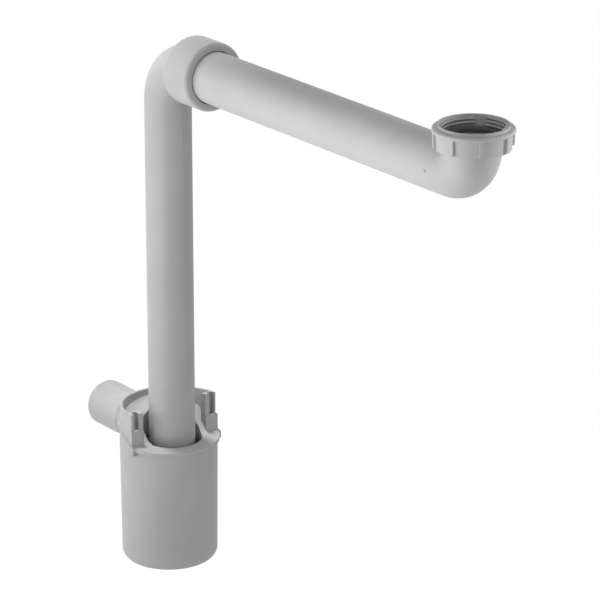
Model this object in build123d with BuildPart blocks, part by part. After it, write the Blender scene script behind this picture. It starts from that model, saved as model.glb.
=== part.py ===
# Space-saving basin trap: a trap cup with an outlet spigot, a clipped-on cover, a sliding dip tube
# that ends in a seal socket, a long inlet pipe with an elbow, and a union nut for the basin waste.
# Millimetres, +Z up. The origin is on the outlet spigot's axis, where its full diameter begins
# behind the lead. The spigot points along -X and the inlet pipe runs along +X.
import os
from math import cos, radians, sin

from build123d import *

os.makedirs("parts", exist_ok=True)

# Fits and clearances
running_gap = 0.05
free_gap = 0.3
seat_gap = 0.1

# Trap cup with its outlet spigot
spigot_radius = 16.0
spigot_wall = 1.9
spigot_reach = 75.7
spigot_lead = 1.0
spigot_grip = 34.0
spigot_mark_width = 0.8
spigot_mark_depth = 0.25
spigot_fillet = 2.5
spigot_height = 91.0
cup_top_radius = 34.0
cup_bottom_radius = 33.2
cup_wall = 2.4
cup_corner = 7.2
rim_front_height = 87.4
rim_climb = 21.0
rim_bend_reach = 7.0

# Dip tube, bend and seal socket
dip_offset = 4.3
dip_radius = 16.0
dip_wall = 1.9
dip_end_height = 26.0
arm_height = 360.4
bend_radius = 27.0
socket_radius = 23.3
socket_start = 25.0
socket_back = 3.2
socket_depth = 25.3
socket_shoulder_fillet = 5.5
socket_mouth_fillet = 2.4
socket_lip = 2.2
socket_lip_gap = 0.6

# Inlet pipe and its elbow
pipe_radius = 17.5
pipe_wall = 2.0
pipe_insert = 20.0
pipe_reach = 318.6
elbow_inner_radius = 1.0
collar_radius = 19.3
collar_thickness = 2.2
gate_radius = 1.1
gate_rise = 0.4
gate_setback = 25.0

# Union nut
nut_radius = 25.4
nut_height = 13.0
nut_band = 2.4
nut_wall_step = 1.1
nut_draft = 0.5
nut_lip = 2.6
nut_chamfer = 0.7
nut_rib_count = 8
nut_rib_phase = 17.0
nut_rib_width = 3.2
nut_rib_setback = 0.15
nut_rib_end = 0.8
nut_crown_rise = 1.9
nut_crown_wall = 1.3
thread_major_radius = 20.95
thread_relief = 0.25

# Seals
washer_thickness = 2.5
washer_bore_radius = 15.2
socket_seal_radius = 20.6
socket_seal_length = 5.0
socket_seal_lip = 1.2
socket_lip_back = 1.4
dip_seal_height = 7.0
dip_seal_lip = 1.0
dip_lip_height = 2.2

# Trap cover
head_turn = -6.0
flange_overhang = 1.4
flange_thickness = 2.4
guide_radius = 20.5
guide_wall = 2.2
guide_shoulder = 2.4
skirt_setback = 0.2
skirt_forward = 1.0
skirt_wall = 1.8
skirt_rise = 26.2
tower_front = 3.4
tower_depth = 6.0
tower_step = 0.9
tower_inner = 24.4
ledge_rise = 14.0
slot_inner = 27.8
slot_width = 3.8
slot_depth = 4.4
tab_angle = 74.0
tab_width = 5.0
tab_reach = 1.4
tab_drop = 2.3

# Derived positions
cup_x = spigot_reach
dip_x = cup_x + dip_offset
base_z = -spigot_height
arm_z = base_z + arm_height
rim_z = base_z + rim_front_height
seal_z = rim_z - dip_seal_height
mouth_x = dip_x + socket_start + socket_back + socket_depth
groove_x = mouth_x - socket_lip
pipe_end_x = mouth_x - pipe_insert
nut_x = dip_x + pipe_reach
elbow_radius = pipe_radius + elbow_inner_radius
nut_z = arm_z + pipe_radius + free_gap
collar_z = nut_z + nut_lip + seat_gap
washer_z = collar_z + collar_thickness
thread_z = washer_z + washer_thickness + seat_gap
crown_radius = thread_major_radius + nut_crown_wall
flange_radius = cup_top_radius + flange_overhang
skirt_radius = cup_top_radius - skirt_setback
rim_back_reach = cup_top_radius + dip_offset
rim_slope = rim_climb / (rim_bend_reach + rim_back_reach)
past = 2 * cup_top_radius
past_reach = rim_back_reach + past
past_climb = rim_slope * (rim_bend_reach + past_reach)

turn_x = cos(radians(head_turn))
turn_y = sin(radians(head_turn))
cup_side = Plane((cup_x, 0, base_z), x_dir=(1, 0, 0), z_dir=(0, -1, 0))
head_side = Plane((dip_x, 0, 0), x_dir=(turn_x, turn_y, 0), z_dir=(turn_y, -turn_x, 0))
head_plan = Plane((dip_x, 0, rim_z), x_dir=(turn_x, turn_y, 0), z_dir=(0, 0, 1))
cup_in_head = (-dip_offset * turn_x, dip_offset * turn_y)
skirt_in_head = (skirt_forward - dip_offset * turn_x, dip_offset * turn_y)
cup_axis = Axis((cup_x, 0, 0), (0, 0, 1))
dip_axis = Axis((dip_x, 0, 0), (0, 0, 1))
arm_axis = Axis((0, 0, arm_z), (1, 0, 0))
nut_axis = Axis((nut_x, 0, 0), (0, 0, 1))


# Space above the rim: level over the front of the cup, then climbing over the spigot
with BuildPart() as above_rim:
    with BuildSketch(head_side):
        with BuildLine():
            Polyline(
                (past_reach, rim_z),
                (rim_bend_reach, rim_z),
                (-past_reach, rim_z + past_climb),
                (-past_reach, rim_z + past_climb + past),
                (past_reach, rim_z + past_climb + past),
                close=True,
            )
        make_face()
    extrude(amount=past, both=True)


# Trap cup and outlet spigot in one moulding, with a fine groove that marks how far the spigot goes in
with BuildPart() as cup_cavity:
    with BuildSketch(cup_side):
        with BuildLine():
            Polyline(
                (0, cup_wall),
                (cup_bottom_radius - cup_wall, cup_wall),
                (cup_top_radius - cup_wall, rim_front_height),
                (cup_top_radius - cup_wall, rim_front_height + past),
                (0, rim_front_height + past),
                close=True,
            )
        make_face()
    revolve(axis=cup_axis)
    fillet(cup_cavity.edges().group_by(Axis.Z)[0], cup_corner - cup_wall)

with BuildPart() as trap_cup:
    with BuildSketch(cup_side):
        with BuildLine():
            Polyline(
                (0, 0),
                (cup_bottom_radius, 0),
                (cup_top_radius, rim_front_height),
                (cup_top_radius, rim_front_height + past),
                (0, rim_front_height + past),
                close=True,
            )
        make_face()
    revolve(axis=cup_axis)
    fillet(trap_cup.edges().group_by(Axis.Z)[0], cup_corner)
    with BuildSketch(Plane.YZ.offset(-spigot_lead)):
        Circle(spigot_radius)
    extrude(amount=cup_x + spigot_lead)
    spigot_root = trap_cup.edges().filter_by(GeomType.BSPLINE).filter_by_position(Axis.X, 0, cup_x)
    fillet(spigot_root, spigot_fillet)
    add(cup_cavity.part, mode=Mode.SUBTRACT)
    with BuildSketch(Plane.YZ.offset(-spigot_lead)):
        Circle(spigot_radius - spigot_wall)
    extrude(amount=cup_x + spigot_lead, mode=Mode.SUBTRACT)
    add(above_rim.part, mode=Mode.SUBTRACT)
    spigot_end = trap_cup.faces().filter_by(Axis.X).sort_by(Axis.X)[0]
    chamfer(spigot_end.outer_wire().edges(), spigot_lead, spigot_lead / 2)
    with BuildSketch(Plane.YZ.offset(spigot_grip)):
        Circle(spigot_radius + spigot_mark_depth)
        Circle(spigot_radius - spigot_mark_depth, mode=Mode.SUBTRACT)
    extrude(amount=spigot_mark_width, mode=Mode.SUBTRACT)
trap_cup.part.label = "trap_cup"
export_step(trap_cup.part, "parts/trap_cup.step")


# Skirt round the back of the cover, with a wider foot up to a ledge
# and a clip tower at each of its front ends, slotted down to the ledge
with BuildPart() as cover_skirt:
    with BuildSketch(head_plan):
        with Locations(skirt_in_head):
            Circle(skirt_radius)
            Circle(skirt_radius - skirt_wall, mode=Mode.SUBTRACT)
        with Locations((tower_front, 0)):
            Rectangle(past, past, align=(Align.MAX, Align.CENTER), mode=Mode.INTERSECT)
    extrude(amount=skirt_rise)
    with BuildSketch(head_plan):
        with Locations(cup_in_head):
            Circle(flange_radius)
            Circle(skirt_radius - skirt_wall, mode=Mode.SUBTRACT)
        with Locations((tower_front + tower_step, 0)):
            Rectangle(past, past, align=(Align.MAX, Align.CENTER), mode=Mode.INTERSECT)
    extrude(amount=ledge_rise)
    with BuildSketch(head_plan):
        with Locations(cup_in_head):
            Circle(flange_radius)
        with Locations((tower_front + tower_step, 0)):
            Rectangle(tower_depth + tower_step, past, align=(Align.MAX, Align.CENTER), mode=Mode.INTERSECT)
        Rectangle(past, 2 * tower_inner, mode=Mode.SUBTRACT)
    extrude(amount=ledge_rise)
    with BuildSketch(head_plan):
        with Locations(skirt_in_head):
            Circle(skirt_radius)
        with Locations((tower_front, 0)):
            Rectangle(tower_depth, past, align=(Align.MAX, Align.CENTER), mode=Mode.INTERSECT)
        Rectangle(past, 2 * tower_inner, mode=Mode.SUBTRACT)
    extrude(amount=skirt_rise)
    with BuildSketch(head_plan.offset(ledge_rise)):
        with Locations((tower_front, slot_inner), (tower_front, -slot_inner - slot_width)):
            Rectangle(slot_depth, slot_width, align=(Align.MAX, Align.MIN))
    extrude(amount=skirt_rise, mode=Mode.SUBTRACT)
    add(above_rim.part, mode=Mode.INTERSECT)

# Cover plate along the cup's rim, with the guide sleeve for the dip tube under it
with BuildPart() as trap_cover:
    with BuildSketch(Plane.XY.offset(seal_z - guide_shoulder)):
        with Locations((dip_x, 0)):
            Circle(guide_radius + guide_wall)
    extrude(amount=past)
    add(above_rim.part, mode=Mode.SUBTRACT)
    with BuildSketch(head_side):
        with BuildLine():
            Polyline(
                (past_reach, rim_z),
                (rim_bend_reach, rim_z),
                (-past_reach, rim_z + past_climb),
                (-past_reach, rim_z + past_climb + flange_thickness),
                (rim_bend_reach, rim_z + flange_thickness),
                (past_reach, rim_z + flange_thickness),
                close=True,
            )
        make_face()
    extrude(amount=past, both=True)
    with BuildSketch(Plane.XY.offset(base_z)):
        with Locations((cup_x, 0)):
            Circle(flange_radius)
    extrude(amount=past_climb + past + rim_front_height, mode=Mode.INTERSECT)
    add(cover_skirt.part)
    with BuildSketch(head_plan.offset(-tab_drop)):
        with Locations(cup_in_head):
            Circle(flange_radius + tab_reach)
            with Locations(Rotation(0, 0, tab_angle), Rotation(0, 0, -tab_angle)):
                Rectangle(past, tab_width, align=(Align.MIN, Align.CENTER), mode=Mode.INTERSECT)
            Circle(cup_top_radius + seat_gap, mode=Mode.SUBTRACT)
    extrude(amount=tab_drop + flange_thickness)
    with BuildSketch(Plane.XY.offset(seal_z)):
        with Locations((dip_x, 0)):
            Circle(guide_radius)
    extrude(amount=past, mode=Mode.SUBTRACT)
    with BuildSketch(Plane.XY.offset(seal_z - guide_shoulder)):
        with Locations((dip_x, 0)):
            Circle(dip_radius + free_gap)
    extrude(amount=guide_shoulder, mode=Mode.SUBTRACT)
trap_cover.part.label = "trap_cover"
export_step(trap_cover.part, "parts/trap_cover.step")


# Lip seal that grips the dip tube in the cover's guide
with BuildPart() as dip_seal:
    with BuildSketch(Plane((dip_x, 0, seal_z), x_dir=(1, 0, 0), z_dir=(0, -1, 0))):
        with BuildLine():
            Polyline(
                (dip_radius + running_gap, dip_seal_height - dip_lip_height),
                (dip_radius + running_gap, dip_lip_height),
                (dip_radius + running_gap + dip_seal_lip, 0),
                (guide_radius - running_gap, 0),
                (guide_radius - running_gap, dip_seal_height),
                (dip_radius + running_gap + dip_seal_lip, dip_seal_height),
                close=True,
            )
        make_face()
    revolve(axis=dip_axis)
dip_seal.part.label = "dip_seal"
export_step(dip_seal.part, "parts/dip_seal.step")


# Dip tube: an upright tube, a bend and a seal socket in one moulding
with BuildPart() as dip_tube:
    with BuildLine(Plane.XZ) as dip_path:
        FilletPolyline(
            (dip_x, base_z + dip_end_height),
            (dip_x, arm_z),
            (dip_x + socket_start + socket_back, arm_z),
            radius=bend_radius,
        )
    with BuildSketch(Plane.XY.offset(base_z + dip_end_height)):
        with Locations((dip_x, 0)):
            Circle(dip_radius)
    sweep(path=dip_path.wire())
    with BuildSketch(Plane.YZ.offset(dip_x + socket_start)):
        with Locations((0, arm_z)):
            Circle(socket_radius)
    extrude(amount=socket_back + socket_depth)
    socket_rims = dip_tube.edges().filter_by(GeomType.CIRCLE).filter_by(
        lambda edge: abs(edge.radius - socket_radius) < seat_gap
    )
    fillet(socket_rims.sort_by(Axis.X)[-1], socket_mouth_fillet)
    fillet(socket_rims.sort_by(Axis.X)[0], socket_shoulder_fillet)
    with BuildSketch(Plane.XY.offset(base_z + dip_end_height)):
        with Locations((dip_x, 0)):
            Circle(dip_radius - dip_wall)
    sweep(path=dip_path.wire(), mode=Mode.SUBTRACT)
    with BuildSketch(Plane.YZ.offset(dip_x + socket_start + socket_back)):
        with Locations((0, arm_z)):
            Circle(pipe_radius + free_gap)
    extrude(amount=socket_depth, mode=Mode.SUBTRACT)
    with BuildSketch(Plane.YZ.offset(groove_x - socket_seal_length)):
        with Locations((0, arm_z)):
            Circle(socket_seal_radius + running_gap)
    extrude(amount=socket_seal_length, mode=Mode.SUBTRACT)
    with BuildSketch(Plane.YZ.offset(groove_x)):
        with Locations((0, arm_z)):
            Circle(pipe_radius + socket_lip_gap)
    extrude(amount=socket_lip, mode=Mode.SUBTRACT)
dip_tube.part.label = "dip_tube"
export_step(dip_tube.part, "parts/dip_tube.step")


# Lip seal in the groove behind the socket's mouth
with BuildPart() as socket_seal:
    with BuildSketch(Plane((groove_x, 0, arm_z), x_dir=(1, 0, 0), z_dir=(0, -1, 0))):
        with BuildLine():
            Polyline(
                (0, pipe_radius + running_gap + socket_seal_lip),
                (0, socket_seal_radius),
                (-socket_seal_length, socket_seal_radius),
                (-socket_seal_length, pipe_radius + running_gap + socket_seal_lip),
                (-socket_seal_length + socket_lip_back, pipe_radius + running_gap),
                (-socket_lip_back, pipe_radius + running_gap),
                close=True,
            )
        make_face()
    revolve(axis=arm_axis)
socket_seal.part.label = "socket_seal"
export_step(socket_seal.part, "parts/socket_seal.step")


# Inlet pipe: a long tube, a tight elbow and the collar that the nut pulls on,
# with the mark that the mould's gate leaves on its side
with BuildPart() as inlet_pipe:
    with BuildLine(Plane.XZ) as inlet_path:
        FilletPolyline(
            (pipe_end_x, arm_z),
            (nut_x, arm_z),
            (nut_x, washer_z),
            radius=elbow_radius,
        )
    with BuildSketch(Plane.YZ.offset(pipe_end_x)):
        with Locations((0, arm_z)):
            Circle(pipe_radius)
    sweep(path=inlet_path.wire())
    with BuildSketch(Plane.XY.offset(collar_z)):
        with Locations((nut_x, 0)):
            Circle(collar_radius)
    extrude(amount=collar_thickness)
    with BuildSketch(Plane((nut_x - gate_setback, 0, arm_z), x_dir=(1, 0, 0), z_dir=(0, -1, 0))):
        Circle(gate_radius)
    extrude(amount=pipe_radius + gate_rise)
    with BuildSketch(Plane.YZ.offset(pipe_end_x)):
        with Locations((0, arm_z)):
            Circle(pipe_radius - pipe_wall)
    sweep(path=inlet_path.wire(), mode=Mode.SUBTRACT)
inlet_pipe.part.label = "inlet_pipe"
export_step(inlet_pipe.part, "parts/inlet_pipe.step")


# Flat washer between the collar and the basin waste
with BuildPart() as nut_washer:
    with BuildSketch(Plane.XY.offset(washer_z)):
        with Locations((nut_x, 0)):
            Circle(collar_radius)
            Circle(washer_bore_radius, mode=Mode.SUBTRACT)
    extrude(amount=washer_thickness)
nut_washer.part.label = "nut_washer"
export_step(nut_washer.part, "parts/nut_washer.step")


# Grip ribs of the union nut, which taper with its wall
with BuildPart() as nut_ribs:
    with BuildSketch(Plane((nut_x, 0, nut_z), x_dir=(1, 0, 0), z_dir=(0, -1, 0))):
        with BuildLine():
            Polyline(
                (crown_radius, nut_rib_end),
                (nut_radius - nut_rib_setback - nut_draft, nut_rib_end),
                (nut_radius - nut_rib_setback, nut_height - nut_band),
                (crown_radius, nut_height - nut_band),
                close=True,
            )
        make_face()
    revolve(axis=nut_axis)
    with BuildSketch(Plane.XY.offset(nut_z)):
        with Locations((nut_x, 0)):
            with PolarLocations(0, nut_rib_count, start_angle=nut_rib_phase):
                Rectangle(2 * nut_radius, nut_rib_width, align=(Align.MIN, Align.CENTER))
    extrude(amount=nut_height, mode=Mode.INTERSECT)

# Union nut: a tapered wall under a plain band, an inner lip under the collar and a low crown
with BuildPart() as union_nut:
    with BuildSketch(Plane((nut_x, 0, nut_z), x_dir=(1, 0, 0), z_dir=(0, -1, 0))):
        with BuildLine():
            Polyline(
                (0, 0),
                (nut_radius - nut_wall_step - nut_draft, 0),
                (nut_radius - nut_wall_step, nut_height - nut_band),
                (nut_radius, nut_height - nut_band),
                (nut_radius, nut_height - nut_chamfer),
                (nut_radius - nut_chamfer, nut_height),
                (crown_radius, nut_height),
                (crown_radius, nut_height + nut_crown_rise),
                (0, nut_height + nut_crown_rise),
                close=True,
            )
        make_face()
    revolve(axis=nut_axis)
    add(nut_ribs.part)
    with BuildSketch(Plane.XY.offset(nut_z)):
        with Locations((nut_x, 0)):
            Circle(pipe_radius + free_gap)
    extrude(amount=nut_lip, mode=Mode.SUBTRACT)
    with BuildSketch(Plane.XY.offset(nut_z + nut_lip)):
        with Locations((nut_x, 0)):
            Circle(thread_major_radius + thread_relief)
    extrude(amount=thread_z - nut_z - nut_lip, mode=Mode.SUBTRACT)
    with BuildSketch(Plane.XY.offset(thread_z)):
        with Locations((nut_x, 0)):
            Circle(thread_major_radius)
    extrude(amount=nut_height + nut_crown_rise, mode=Mode.SUBTRACT)
union_nut.part.label = "union_nut"
export_step(union_nut.part, "parts/union_nut.step")
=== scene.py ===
from math import cos, hypot, radians, sin

import bmesh
import bpy
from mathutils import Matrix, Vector


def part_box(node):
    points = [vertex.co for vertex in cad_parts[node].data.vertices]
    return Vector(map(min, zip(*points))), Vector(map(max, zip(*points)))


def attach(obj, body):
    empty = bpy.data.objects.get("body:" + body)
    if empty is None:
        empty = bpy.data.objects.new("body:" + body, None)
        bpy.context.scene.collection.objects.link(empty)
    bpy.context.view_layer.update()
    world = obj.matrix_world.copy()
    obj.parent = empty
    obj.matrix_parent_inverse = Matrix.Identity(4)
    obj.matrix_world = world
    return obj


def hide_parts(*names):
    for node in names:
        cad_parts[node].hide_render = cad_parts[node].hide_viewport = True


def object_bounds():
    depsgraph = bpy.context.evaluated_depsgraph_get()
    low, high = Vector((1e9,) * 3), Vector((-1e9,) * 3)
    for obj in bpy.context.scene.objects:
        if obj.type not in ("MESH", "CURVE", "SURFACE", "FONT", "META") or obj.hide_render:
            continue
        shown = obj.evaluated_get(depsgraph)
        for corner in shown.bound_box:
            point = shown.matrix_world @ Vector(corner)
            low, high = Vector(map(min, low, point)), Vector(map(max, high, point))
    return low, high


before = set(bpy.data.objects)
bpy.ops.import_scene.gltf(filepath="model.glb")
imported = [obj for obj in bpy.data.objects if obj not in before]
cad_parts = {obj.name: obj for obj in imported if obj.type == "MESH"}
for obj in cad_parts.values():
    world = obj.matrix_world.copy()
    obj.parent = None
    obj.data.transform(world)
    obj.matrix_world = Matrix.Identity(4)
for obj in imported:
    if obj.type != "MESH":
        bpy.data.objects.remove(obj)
cad_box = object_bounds()
scene = bpy.context.scene
scene.view_settings.view_transform = "Standard"


# Trap cup and outlet spigot: one injection moulding of light grey polypropylene.
# The tool surface is finely eroded, so the plastic has a satin sheen and a faint grain,
# its edges are slightly broken, and the colour clouds a little where the melt met itself.
plastic_gloss = 0.16
plastic_ior = 1.49
plastic_roughness = (0.45, 0.57)
cloud_scale = 38.0
cloud_detail = 3.0
cloud_tints = (0.965, 1.03)
cloud_span = (0.3, 0.7)
grain_size = 0.0009
grain_detail = 2.0
grain_depth = 0.000014
grain_strength = 0.35
broken_edge_radius = 0.0005
broken_edge_samples = 6


def surface_noise(tree, scale, detail):
    place = tree.nodes.new("ShaderNodeTexCoord")
    noise = tree.nodes.new("ShaderNodeTexNoise")
    noise.inputs["Scale"].default_value = scale
    noise.inputs["Detail"].default_value = detail
    tree.links.new(place.outputs["Object"], noise.inputs["Vector"])
    return noise.outputs["Fac"]


def tinted_grey(tree, noise, grey, tints, span):
    ramp = tree.nodes.new("ShaderNodeValToRGB")
    for stop, tint, position in zip(ramp.color_ramp.elements, tints, span):
        shade = grey * tint
        stop.position = position
        stop.color = (shade, shade, shade, 1)
    tree.links.new(noise, ramp.inputs["Fac"])
    return ramp.outputs["Color"]


def uneven_roughness(tree, noise, limits):
    dulling = tree.nodes.new("ShaderNodeMapRange")
    dulling.inputs["To Min"].default_value, dulling.inputs["To Max"].default_value = limits
    tree.links.new(noise, dulling.inputs["Value"])
    return dulling.outputs["Result"]


def satin_plastic(name, grey, edge_radius=broken_edge_radius):
    material = bpy.data.materials.new(name)
    material.use_nodes = True
    tree = material.node_tree
    shader = tree.nodes["Principled BSDF"]
    shader.inputs["Specular IOR Level"].default_value = plastic_gloss
    shader.inputs["IOR"].default_value = plastic_ior
    clouds = surface_noise(tree, cloud_scale, cloud_detail)
    tree.links.new(tinted_grey(tree, clouds, grey, cloud_tints, cloud_span), shader.inputs["Base Color"])
    grain = surface_noise(tree, 1 / grain_size, grain_detail)
    tree.links.new(uneven_roughness(tree, grain, plastic_roughness), shader.inputs["Roughness"])
    edge = tree.nodes.new("ShaderNodeBevel")
    edge.samples = broken_edge_samples
    edge.inputs["Radius"].default_value = edge_radius
    relief = tree.nodes.new("ShaderNodeBump")
    relief.inputs["Strength"].default_value = grain_strength
    relief.inputs["Distance"].default_value = grain_depth
    tree.links.new(grain, relief.inputs["Height"])
    tree.links.new(edge.outputs["Normal"], relief.inputs["Normal"])
    tree.links.new(relief.outputs["Normal"], shader.inputs["Normal"])
    return material


def dress(node, material):
    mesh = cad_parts[node].data
    mesh.materials.clear()
    mesh.materials.append(material)


cup_plastic = satin_plastic("cup_plastic", 0.47)
dress("trap_cup", cup_plastic)

# Trap cover: a second moulding in the same plastic, clipped on the cup's rim.
# It carries the guide for the dip tube, a tall skirt and two clip towers. The skirt's top edge
# climbs towards the taller tower, and the sloping deck inside the skirt is slightly crowned.
merge_distance = 0.000002
sharp_angle = radians(30)
same_plane = 0.00001
cup_low, cup_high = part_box("trap_cup")
cup_axis_x = cup_high.x - (cup_high.y - cup_low.y) / 2
cover_turn = radians(-6)
cover_edge_radius = 0.0008
skirt_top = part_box("trap_cover")[1].z
skirt_forward = 0.001
skirt_inner_radius = 0.0324
skirt_back_reach = 0.033
skirt_climb_rate = 2.4
deck_slope = 0.4636
deck_front_reach = 0.01128
deck_front_height = -0.0012
deck_crown = 0.0032
deck_middle = -0.0107
deck_half_length = 0.018


def moulded_copy(node, name, material, body, corner_place):
    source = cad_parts[node].data
    corners = [corner_place(vertex.co) for vertex in source.vertices]
    faces = [tuple(polygon.vertices) for polygon in source.polygons]
    mesh = bpy.data.meshes.new(name)
    mesh.from_pydata(corners, [], faces)
    shape = bmesh.new()
    shape.from_mesh(mesh)
    bmesh.ops.remove_doubles(shape, verts=shape.verts, dist=merge_distance)
    for face in shape.faces:
        face.smooth = True
    for edge in shape.edges:
        edge.smooth = edge.calc_face_angle(0.0) < sharp_angle
    shape.to_mesh(mesh)
    shape.free()
    mesh.materials.append(material)
    piece = bpy.data.objects.new(name, mesh)
    scene.collection.objects.link(piece)
    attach(piece, body)
    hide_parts(node)


def on_moulded_cover(corner):
    along, aside = corner.x - cup_axis_x, corner.y
    forward = along * cos(cover_turn) + aside * sin(cover_turn)
    across = aside * cos(cover_turn) - along * sin(cover_turn)
    deck_height = deck_front_height + deck_slope * (deck_front_reach - forward)
    in_skirt = hypot(forward - skirt_forward, across) < skirt_inner_radius
    rise = 0.0
    if corner.z > skirt_top - same_plane and across > 0:
        rise = skirt_climb_rate * (forward + skirt_back_reach) ** 2
    elif in_skirt and abs(corner.z - deck_height) < same_plane:
        rise = deck_crown * max(0.0, 1 - ((forward - deck_middle) / deck_half_length) ** 2)
    return corner + Vector((0, 0, rise))


cover_plastic = satin_plastic("cover_plastic", 0.48, cover_edge_radius)
moulded_copy("trap_cover", "cover_moulding", cover_plastic, "trap", on_moulded_cover)

# Dip seal: a black moulded rubber ring with a dull bloom,
# pressed into the cover's guide round the dip tube.
rubber_gloss = 0.3
rubber_roughness = (0.55, 0.75)
bloom_scale = 320.0
bloom_detail = 4.0
bloom_tints = (0.8, 1.3)
bloom_span = (0.0, 1.0)


def seal_rubber(name, grey):
    material = bpy.data.materials.new(name)
    material.use_nodes = True
    tree = material.node_tree
    shader = tree.nodes["Principled BSDF"]
    shader.inputs["Specular IOR Level"].default_value = rubber_gloss
    bloom = surface_noise(tree, bloom_scale, bloom_detail)
    tree.links.new(tinted_grey(tree, bloom, grey, bloom_tints, bloom_span), shader.inputs["Base Color"])
    tree.links.new(uneven_roughness(tree, bloom, rubber_roughness), shader.inputs["Roughness"])
    return material


black_rubber = seal_rubber("black_rubber", 0.02)
dress("dip_seal", black_rubber)

# Dip tube: the upright tube, its bend and the seal socket in one satin grey moulding,
# which slides in the dip seal to set the height of the inlet.
tube_plastic = satin_plastic("tube_plastic", 0.465)
dress("dip_tube", tube_plastic)

# Socket seal: a moulded lip ring of the same black rubber, in the groove behind the socket's mouth.
# Only a dark line of it shows round the inlet pipe.
dress("socket_seal", black_rubber)

# Inlet pipe: the long pipe, its tight elbow and the collar under the nut in one moulding,
# with the small mark of the mould's gate on its side. It slides in the socket seal.
pipe_plastic = satin_plastic("pipe_plastic", 0.475)
dress("inlet_pipe", pipe_plastic)

# Nut washer: a flat ring punched from grey rubber sheet,
# which lies on the collar and seals against the basin waste.
grey_rubber = seal_rubber("grey_rubber", 0.09)
dress("nut_washer", grey_rubber)

# Union nut: a ribbed moulding in the same plastic as the pipe, with a deep wall between its ribs,
# which turns freely on the collar and is tightened by hand.
nut_low, nut_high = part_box("union_nut")
nut_axis = Vector(((nut_low.x + nut_high.x) / 2, (nut_low.y + nut_high.y) / 2, 0))
rib_foot_radius = 0.0226
rib_side_radius = 0.0245
rib_height = 0.0107
wall_deeper = 0.0006


def between_ribs(corner):
    out = Vector((corner.x - nut_axis.x, corner.y - nut_axis.y, 0))
    if corner.z > nut_low.z + rib_height or not rib_foot_radius < out.length < rib_side_radius:
        return corner
    return corner - out.normalized() * wall_deeper


nut_plastic = satin_plastic("nut_plastic", 0.48)
moulded_copy("union_nut", "nut_moulding", nut_plastic, "nut", between_ribs)

# Thread of the union nut: a coarse right-hand pipe thread, moulded in three interrupted runs
# per turn, so that the core can be pulled out. It is one piece with the nut's bore.
thread_below_top = 0.00625
thread_bearing = radians(118)
steps_per_run = 96


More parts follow.
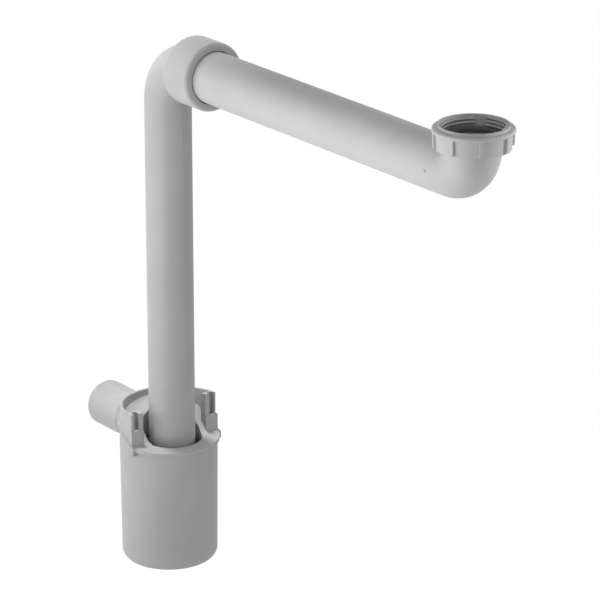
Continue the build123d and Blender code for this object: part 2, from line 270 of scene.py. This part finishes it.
def thread_tree():
    tree = bpy.data.node_groups.new("waste_thread", "GeometryNodeTree")
    interface = tree.interface
    interface.new_socket("Geometry", in_out="INPUT", socket_type="NodeSocketGeometry")
    for label, kind, value in (
        ("Pitch", "NodeSocketFloat", 0.002309),
        ("Runs", "NodeSocketInt", 7),
        ("Runs per Turn", "NodeSocketInt", 3),
        ("Gap", "NodeSocketFloat", 0.06),
        ("Root Radius", "NodeSocketFloat", 0.0211),
        ("Depth", "NodeSocketFloat", 0.0016),
        ("Root Width", "NodeSocketFloat", 0.0019),
        ("Crest Width", "NodeSocketFloat", 0.0005),
        ("Bearing", "NodeSocketFloat", 0.0),
        ("Foot", "NodeSocketVector", (0, 0, 0)),
        ("Plastic", "NodeSocketMaterial", None),
    ):
        socket = interface.new_socket(label, in_out="INPUT", socket_type=kind)
        if value is not None:
            socket.default_value = value
    interface.new_socket("Geometry", in_out="OUTPUT", socket_type="NodeSocketGeometry")
    nodes = tree.nodes
    links = tree.links
    given = nodes.new("NodeGroupInput")
    result = nodes.new("NodeGroupOutput")

    def math(operation, first, second):
        step = nodes.new("ShaderNodeMath")
        step.operation = operation
        for index, value in enumerate((first, second)):
            if isinstance(value, (int, float)):
                step.inputs[index].default_value = value
            else:
                links.new(value, step.inputs[index])
        return step.outputs[0]

    # One run: a short helix that sweeps the ridge's section, root outwards and crest inwards
    share = math("DIVIDE", 1.0, given.outputs["Runs per Turn"])
    run_share = math("SUBTRACT", share, given.outputs["Gap"])
    run = nodes.new("GeometryNodeCurveSpiral")
    run.inputs["Resolution"].default_value = steps_per_run
    links.new(run_share, run.inputs["Rotations"])
    links.new(given.outputs["Root Radius"], run.inputs["Start Radius"])
    links.new(given.outputs["Root Radius"], run.inputs["End Radius"])
    links.new(math("MULTIPLY", given.outputs["Pitch"], run_share), run.inputs["Height"])
    upright = nodes.new("GeometryNodeSetCurveNormal")
    upright.mode = "Z_UP"
    links.new(run.outputs["Curve"], upright.inputs["Curve"])
    ridge = nodes.new("GeometryNodeCurvePrimitiveQuadrilateral")
    ridge.mode = "TRAPEZOID"
    links.new(given.outputs["Root Width"], ridge.inputs["Bottom Width"])
    links.new(given.outputs["Crest Width"], ridge.inputs["Top Width"])
    links.new(given.outputs["Depth"], ridge.inputs["Height"])
    ridge.inputs["Offset"].default_value = 0.0
    turned = nodes.new("GeometryNodeTransform")
    links.new(ridge.outputs["Curve"], turned.inputs["Geometry"])
    turned.inputs["Rotation"].default_value = (0, 0, radians(90))
    inward = nodes.new("ShaderNodeCombineXYZ")
    links.new(math("MULTIPLY", given.outputs["Depth"], 0.5), inward.inputs["X"])
    links.new(inward.outputs["Vector"], turned.inputs["Translation"])
    solid = nodes.new("GeometryNodeCurveToMesh")
    links.new(upright.outputs["Curve"], solid.inputs["Curve"])
    links.new(turned.outputs["Geometry"], solid.inputs["Profile Curve"])
    solid.inputs["Fill Caps"].default_value = True

    # All runs: each one turned and raised by its share of a turn
    climb = nodes.new("ShaderNodeCombineXYZ")
    links.new(math("MULTIPLY", given.outputs["Pitch"], share), climb.inputs["Z"])
    places = nodes.new("GeometryNodeMeshLine")
    links.new(given.outputs["Runs"], places.inputs["Count"])
    links.new(climb.outputs["Vector"], places.inputs["Offset"])
    number = nodes.new("GeometryNodeInputIndex")
    turn = math("MULTIPLY", math("MULTIPLY", number.outputs["Index"], share), radians(360))
    spin = nodes.new("ShaderNodeCombineXYZ")
    links.new(math("ADD", turn, given.outputs["Bearing"]), spin.inputs["Z"])
    repeat = nodes.new("GeometryNodeInstanceOnPoints")
    links.new(places.outputs["Mesh"], repeat.inputs["Points"])
    links.new(solid.outputs["Mesh"], repeat.inputs["Instance"])
    links.new(spin.outputs["Vector"], repeat.inputs["Rotation"])
    seat = nodes.new("GeometryNodeTransform")
    links.new(repeat.outputs["Instances"], seat.inputs["Geometry"])
    links.new(given.outputs["Foot"], seat.inputs["Translation"])
    real = nodes.new("GeometryNodeRealizeInstances")
    links.new(seat.outputs["Geometry"], real.inputs["Geometry"])
    paint = nodes.new("GeometryNodeSetMaterial")
    links.new(real.outputs["Geometry"], paint.inputs["Geometry"])
    links.new(given.outputs["Plastic"], paint.inputs["Material"])
    links.new(paint.outputs["Geometry"], result.inputs["Geometry"])
    return tree


thread_seed = bpy.data.objects.new("thread_seed", bpy.data.meshes.new("thread_seed"))
scene.collection.objects.link(thread_seed)
thread_maker = thread_seed.modifiers.new("waste_thread", "NODES")
thread_maker.node_group = thread_tree()
thread_inputs = {
    item.name: item.identifier
    for item in thread_maker.node_group.interface.items_tree
    if item.in_out == "INPUT"
}
thread_maker[thread_inputs["Foot"]] = (nut_axis.x, nut_axis.y, nut_high.z - thread_below_top)
thread_maker[thread_inputs["Bearing"]] = thread_bearing
thread_maker[thread_inputs["Plastic"]] = nut_plastic
thread_result = thread_seed.evaluated_get(bpy.context.evaluated_depsgraph_get())
thread_mesh = bpy.data.meshes.new_from_object(thread_result)
thread_mesh.name = "nut_thread"
# The seed's own empty slot goes, so that the plastic is the only one left
thread_mesh.materials.pop(index=0)
thread_seed.modifiers.remove(thread_maker)
bpy.data.objects.remove(thread_seed)
nut_thread = bpy.data.objects.new("nut_thread", thread_mesh)
scene.collection.objects.link(nut_thread)
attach(nut_thread, "nut")

# Studio: a pale floor well below the trap, which is held by its spigot,
# a white backdrop for the camera, and soft lamps.
floor_size = 8.0
floor_drop = 0.35
floor_grey = 0.85
floor_roughness = 0.9
floor_glow = 1.13
floor_glow_share = 0.8
ambient_strength = 0.54
white = (1, 1, 1, 1)


def seen_rays(tree):
    ray = tree.nodes.new("ShaderNodeLightPath")
    seen = ray.outputs["Is Camera Ray"]
    for kind in ("Is Glossy Ray", "Is Transmission Ray"):
        either = tree.nodes.new("ShaderNodeMath")
        either.operation = "MAXIMUM"
        tree.links.new(seen, either.inputs[0])
        tree.links.new(ray.outputs[kind], either.inputs[1])
        seen = either.outputs["Value"]
    return seen


def mixed_surface(tree, share, first, second, output):
    mix = tree.nodes.new("ShaderNodeMixShader")
    tree.links.new(share, mix.inputs["Fac"])
    tree.links.new(first, mix.inputs[1])
    tree.links.new(second, mix.inputs[2])
    tree.links.new(mix.outputs["Shader"], tree.nodes[output].inputs["Surface"])


bpy.ops.mesh.primitive_plane_add(size=floor_size, location=(0, 0, cad_box[0][2] - floor_drop))
floor = bpy.context.object
floor.name = "floor"
floor_paint = bpy.data.materials.new("floor_paint")
floor_paint.use_nodes = True
floor_tree = floor_paint.node_tree
matt_floor = floor_tree.nodes["Principled BSDF"]
matt_floor.inputs["Base Color"].default_value = (floor_grey, floor_grey, floor_grey, 1)
matt_floor.inputs["Roughness"].default_value = floor_roughness
white_floor = floor_tree.nodes.new("ShaderNodeEmission")
white_floor.inputs["Strength"].default_value = floor_glow
floor_share = floor_tree.nodes.new("ShaderNodeMath")
floor_share.operation = "MULTIPLY"
floor_share.inputs[1].default_value = floor_glow_share
floor_tree.links.new(seen_rays(floor_tree), floor_share.inputs[0])
mixed_surface(
    floor_tree,
    floor_share.outputs["Value"],
    matt_floor.outputs["BSDF"],
    white_floor.outputs["Emission"],
    "Material Output",
)
floor.data.materials.append(floor_paint)

world = bpy.data.worlds.new("studio")
scene.world = world
world.use_nodes = True
world_tree = world.node_tree
ambient = world_tree.nodes["Background"]
ambient.inputs["Color"].default_value = white
ambient.inputs["Strength"].default_value = ambient_strength
backdrop = world_tree.nodes.new("ShaderNodeBackground")
backdrop.inputs["Color"].default_value = white
mixed_surface(
    world_tree,
    seen_rays(world_tree),
    ambient.outputs["Background"],
    backdrop.outputs["Background"],
    "World Output",
)


def bearing(azimuth, elevation):
    level = cos(radians(elevation))
    return Vector((level * cos(radians(azimuth)), level * sin(radians(azimuth)), sin(radians(elevation))))


def lamp(name, aim, azimuth, elevation, distance, size, power, spread):
    light = bpy.data.lights.new(name, "AREA")
    light.shape = "DISK"
    light.size = size
    light.energy = power
    light.spread = radians(spread)
    holder = bpy.data.objects.new(name, light)
    scene.collection.objects.link(holder)
    away = bearing(azimuth, elevation)
    holder.location = Vector(aim) + away * distance
    holder.rotation_euler = away.to_track_quat("Z", "Y").to_euler()


lamp(
    "left_lamp", aim=(0.15, 0, 0.14), azimuth=-127, elevation=4, distance=1.7,
    size=1.0, power=11.6, spread=180,
)
lamp(
    "front_lamp", aim=(0.2, 0, 0.1), azimuth=-8, elevation=12, distance=1.6,
    size=0.9, power=0.8, spread=180,
)
lamp(
    "low_lamp", aim=(0.29, 0, 0.27), azimuth=-95, elevation=-28, distance=0.9,
    size=0.3, power=0.38, spread=50,
)
lamp(
    "top_lamp", aim=(0.07, 0, 0.15), azimuth=180, elevation=78, distance=1.0,
    size=0.12, power=0.066, spread=16,
)
lamp(
    "deck_lamp", aim=(0.04, 0, 0), azimuth=190, elevation=50, distance=0.9,
    size=0.1, power=0.0088, spread=9,
)
lamp(
    "right_lamp", aim=(0.4, 0, 0.28), azimuth=60, elevation=5, distance=0.5,
    size=0.15, power=0.066, spread=34,
)

# Camera: a long lens that looks down a little on the trap, from the side of the union nut,
# so that the sides of the upright tube and of the pipe stay nearly parallel in the frame.
camera_azimuth = -37.13
camera_elevation = 19.71
camera_distance = 2.334
camera_target = Vector((0.2265, 0.0, 0.1412))
lens_length = 216.0
sensor_width = 36.0
camera_lens = bpy.data.cameras.new("camera")
camera_lens.sensor_width = sensor_width
camera_lens.lens = lens_length
camera = bpy.data.objects.new("camera", camera_lens)
scene.collection.objects.link(camera)
towards_camera = bearing(camera_azimuth, camera_elevation)
camera.location = camera_target + towards_camera * camera_distance
camera.rotation_euler = towards_camera.to_track_quat("Z", "Y").to_euler()
scene.camera = camera
